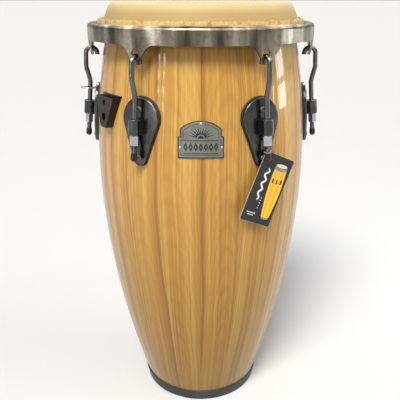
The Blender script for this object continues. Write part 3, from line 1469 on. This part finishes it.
def picture(print_on):
    """The printed drum: its staves in two tones, head, rim band, rods and foot."""
    down = PICTURE_FOOT - PICTURE_TOP
    side = Vector((-down.y, down.x)).normalized()
    sag = 0.24

    def at(t, f):
        """Point a fraction t down the drum and f across it, from -1 to 1, on the near side."""
        half = picture_half(t)
        curve = sag * half * math.sqrt(max(0.0, 1 - f * f))
        return tuple(PICTURE_TOP + down * t + side * half * f + down.normalized() * curve)

    def panel(t0, t1, f0, f1, material, lift):
        rows = [t0 + (t1 - t0) * k / 14 for k in range(15)]
        steps = [f0 + (f1 - f0) * k / 8 for k in range(9)]
        ring = [at(t0, f) for f in steps] + [at(t, f1) for t in rows[1:-1]]
        ring += [at(t1, f) for f in steps[::-1]] + [at(t, f0) for t in rows[-2:0:-1]]
        print_on(ring, material, (), lift, 0.04 * MM)

    edges = [math.sin(math.radians(-90 + 180 * k / PICTURE_STAVES)) for k in range(PICTURE_STAVES + 1)]
    base = TAG_T + 0.05 * MM
    for k in range(PICTURE_STAVES):
        panel(0.02, 0.985, edges[k], edges[k + 1], CARD_YELLOW if k % 2 else CARD_ORANGE, base)
    panel(0.02, 0.075, -1, 1, CARD_STEEL, base + 0.05 * MM)
    panel(0.965, 1, -1, 1, CARD_STEEL, base + 0.05 * MM)
    for f in (-0.62, 0.0, 0.62):
        panel(0.07, 0.27, f - 0.035, f + 0.035, CARD_STEEL, base + 0.05 * MM)
        panel(0.23, 0.31, f - 0.12, f + 0.12, CARD_BLACK, base + 0.1 * MM)
    half = picture_half(0)
    for grow, material, lift in ((1.0, CARD_STEEL, 0.1), (0.88, CARD_CREAM, 0.15)):
        disc = []
        for k in range(48):
            a = TURN * k / 48
            offset = side * math.cos(a) * half * grow + down.normalized() * math.sin(a) * half * 0.27 * grow
            disc.append(tuple(PICTURE_TOP + down * 0.012 + offset))
        print_on(disc, material, (), base + lift * MM, 0.04 * MM)


def wording(print_on):
    """Plain strokes where a real tag has its wording: a wavy line, a row of dots and two bars."""
    lift, thick = TAG_T + 0.05 * MM, 0.04 * MM
    wave = []
    for k in range(61):
        t = k / 60
        sway = 3.4 * MM * math.sin(t * TURN * 3.5) * (1 - 0.35 * t)
        wave.append((17.5 * MM + sway, (86 - 50 * t) * MM))
    print_on(ribbon(wave, 3 * MM), CARD_WHITE, (), lift, thick)
    for k in range(5):
        print_on(circle(25.5 * MM, (40 - 4 * k) * MM, 0.8 * MM, 16), CARD_WHITE, (), lift, thick)
    for y, half in ((14 * MM, 9 * MM), (10.5 * MM, 6 * MM)):
        x = 17 * MM
        print_on(rectangle(x - half, y, x + half, y + 1.1 * MM), CARD_WHITE, (), lift, thick)


def string_knots():
    """Turning points of the tag's string, about the hook: (outward, sideways, up)."""
    back, front = TAG_R - 0.85 * MM, TAG_R + TAG_T + 1 * MM
    hole_y, hole_z = TAG_HOLE
    hook_x, high = ROD_R + 4.1 * MM, 502.2 * MM
    return [
        (back, hole_y + 0.2 * MM, hole_z + 0.3 * MM),
        (back + 0.1 * MM, hole_y + 3.8 * MM, hole_z + 7.6 * MM),
        (front, hole_y + 4.4 * MM, hole_z + 9.7 * MM),
        (hook_x, 4.9 * MM, high),
        (hook_x + 3.4 * MM, 3.2 * MM, high + 0.2 * MM),
        (hook_x + 4.6 * MM, 0, high + 0.3 * MM),
        (hook_x + 3 * MM, -3.5 * MM, high + 0.2 * MM),
        (hook_x - 0.4 * MM, -4.9 * MM, high),
        (hook_x - 4 * MM, -3.9 * MM, high - 0.1 * MM),
        (front - 0.3 * MM, -1 * MM, high - 0.2 * MM),
        (front - 0.2 * MM, hole_y - 2.3 * MM, high - 1 * MM),
        (front - 0.15 * MM, hole_y - 0.1 * MM, hole_z + 4.5 * MM),
        (front - 0.2 * MM, hole_y, hole_z + 0.3 * MM),
    ]


def smooth_ring(knots, steps):
    """Points of a smooth closed curve through the knots."""
    out, n = [], len(knots)
    for k in range(n):
        a, b, c, d = (knots[(k + j) % n] for j in (-1, 0, 1, 2))
        for j in range(steps):
            t = j / steps
            bend_in, bend_out = (c - a) * 0.5, (d - b) * 0.5
            h = (2 * t**3 - 3 * t**2 + 1, t**3 - 2 * t**2 + t, -2 * t**3 + 3 * t**2, t**3 - t**2)
            out.append(b * h[0] + bend_in * h[1] + c * h[2] + bend_out * h[3])
    return out


def tag():
    """Card with a printed picture of a drum, plain strokes in place of wording, and a string."""
    outline = round_polygon(rectangle(0, 0, TAG_W, TAG_L), 3 * MM)
    hole = circle(TAG_INSET, TAG_L - TAG_INSET, 2.6 * MM)
    core = flat_solid("tag_core", outline, [hole], TAG_T, 0.05 * MM, 1)
    bend(core, tag_place(0), 4 * MM)
    core.data.materials.append(CARD_EDGE)
    parts = [core]

    def print_on(outline, material, holes=(), lift=TAG_T, thick=0.05 * MM):
        part = flat_solid("print", outline, holes, thick, 0.01 * MM, 1)
        bend(part, tag_place(lift), 4 * MM)
        part.data.materials.append(material)
        parts.append(part)

    inset = 0.25 * MM
    face = round_polygon(rectangle(inset, inset, TAG_W - inset, TAG_L - inset), 2.8 * MM)
    print_on(face, CARD_BLACK, [hole])
    print_on(face, CARD_BLACK, [hole], -0.05 * MM)
    picture(print_on)
    wording(print_on)
    finish_piece(join(parts, "tag_printed_card"), "hang_tag", "tag_card", None, "tag_card")

    turned = at_angle(TAG_ANGLE)
    knots = [turned @ Vector(p) for p in string_knots()]
    loop = tube("tag_string", smooth_ring(knots, 8), 0.5 * MM, 12, closed=True)
    finish_piece(loop, "hook_1", "tag_plastic", LOOP_PLASTIC, "tag_loop")


tag()

# ----------------------------------------------------------------------- stage


def floor():
    reach, below, sides = 900, 0.2 * MM, 96
    verts = [(x, y, -below) for x, y in circle(0, 0, reach, sides)]
    obj = make_object("floor", verts, [tuple(range(sides))], smooth=False)
    obj.visible_diffuse = False
    shade = Shade("floor_paper", Roughness=0.9, Specular_IOR_Level=0.1)
    obj.data.materials.append(shade.done((0.76, 0.76, 0.76, 1)))


def area_light(name, place, target, size, power, colour):
    data = bpy.data.lights.new(name, "AREA")
    data.shape = "RECTANGLE"
    data.size, data.size_y = size
    data.energy = power
    data.color = colour
    light = add_object(name, data)
    light.location = place
    light.rotation_euler = (Vector(target) - Vector(place)).to_track_quat("-Z", "Y").to_euler()
    return light


def sun_light(name, direction, strength, softness, colour):
    data = bpy.data.lights.new(name, "SUN")
    data.energy = strength
    data.angle = math.radians(softness)
    data.color = colour
    light = add_object(name, data)
    light.rotation_euler = (-Vector(direction)).to_track_quat("-Z", "Y").to_euler()
    return light


def world_light():
    world = bpy.data.worlds.new("studio")
    bpy.context.scene.world = world
    world.use_nodes = True
    tree = world.node_tree
    background = tree.nodes["Background"]
    coordinates = tree.nodes.new("ShaderNodeTexCoord")
    split = tree.nodes.new("ShaderNodeSeparateXYZ")
    ramp = tree.nodes.new("ShaderNodeValToRGB")
    tree.links.new(coordinates.outputs["Generated"], split.inputs[0])
    tree.links.new(split.outputs[2], ramp.inputs[0])
    horizon, sky = (0.42, 0.41, 0.4, 1), (0.28, 0.28, 0.3, 1)
    for element, position, colour in zip(ramp.color_ramp.elements, (0.02, 0.4), (horizon, sky)):
        element.position = position
        element.color = colour
    tree.links.new(ramp.outputs[0], background.inputs["Color"])
    background.inputs["Strength"].default_value = 1.0


def lamp_power(radiance, area):
    return radiance * math.pi * area


def lamp_ring(count, distance, height, size, radiance):
    """Tall ceiling lamps seen only in reflections, which give the rolled rim its string of highlights."""
    for k in range(count):
        a = TURN * (k + 0.5) / count
        place = (distance * math.cos(a), distance * math.sin(a), height)
        power = lamp_power(radiance, size[0] * size[1])
        lamp = area_light(f"lamp_{k}", place, (0, 0, 0.67), size, power, (1, 0.94, 0.8))
        lamp.visible_diffuse = False


def window(name, centre, columns, rows, pane, gap, radiance, colour):
    """A window of panes that faces the drum."""
    centre, target = Vector(centre), Vector((0, 0, 0.6))
    ahead = (target - centre).normalized()
    right = ahead.cross(Vector((0, 0, 1))).normalized()
    up = right.cross(ahead)
    for c in range(columns):
        for r in range(rows):
            across_by = (c - (columns - 1) / 2) * (pane[0] + gap)
            up_by = (r - (rows - 1) / 2) * (pane[1] + gap)
            place = centre + right * across_by + up * up_by
            power = lamp_power(radiance, pane[0] * pane[1])
            area_light(f"{name}_{c}_{r}", place, place + ahead, pane, power, colour)


floor()
world_light()
sun_light("key", direction=(-0.25, -0.75, 1), strength=3.4, softness=24, colour=(1, 0.97, 0.92))
lamp_ring(count=18, distance=2.0, height=2.4, size=(0.3, 1.8), radiance=7)
left = {"columns": 2, "rows": 4, "pane": (0.1, 0.09), "gap": 0.06}
window("left_window", (-1.44, -1.58, 0.85), **left, radiance=22, colour=(0.93, 0.9, 1))
right = {"columns": 1, "rows": 2, "pane": (0.34, 0.16), "gap": 0.04}
window("right_window", (1.6, 0.14, 0.655), **right, radiance=12, colour=(0.88, 0.98, 1))
fill = sun_light("fill", direction=(1, -0.3, 0.4), strength=0.9, softness=40, colour=(1, 0.96, 0.88))
fill.visible_glossy = False
bpy.context.scene.view_settings.view_transform = "Standard"
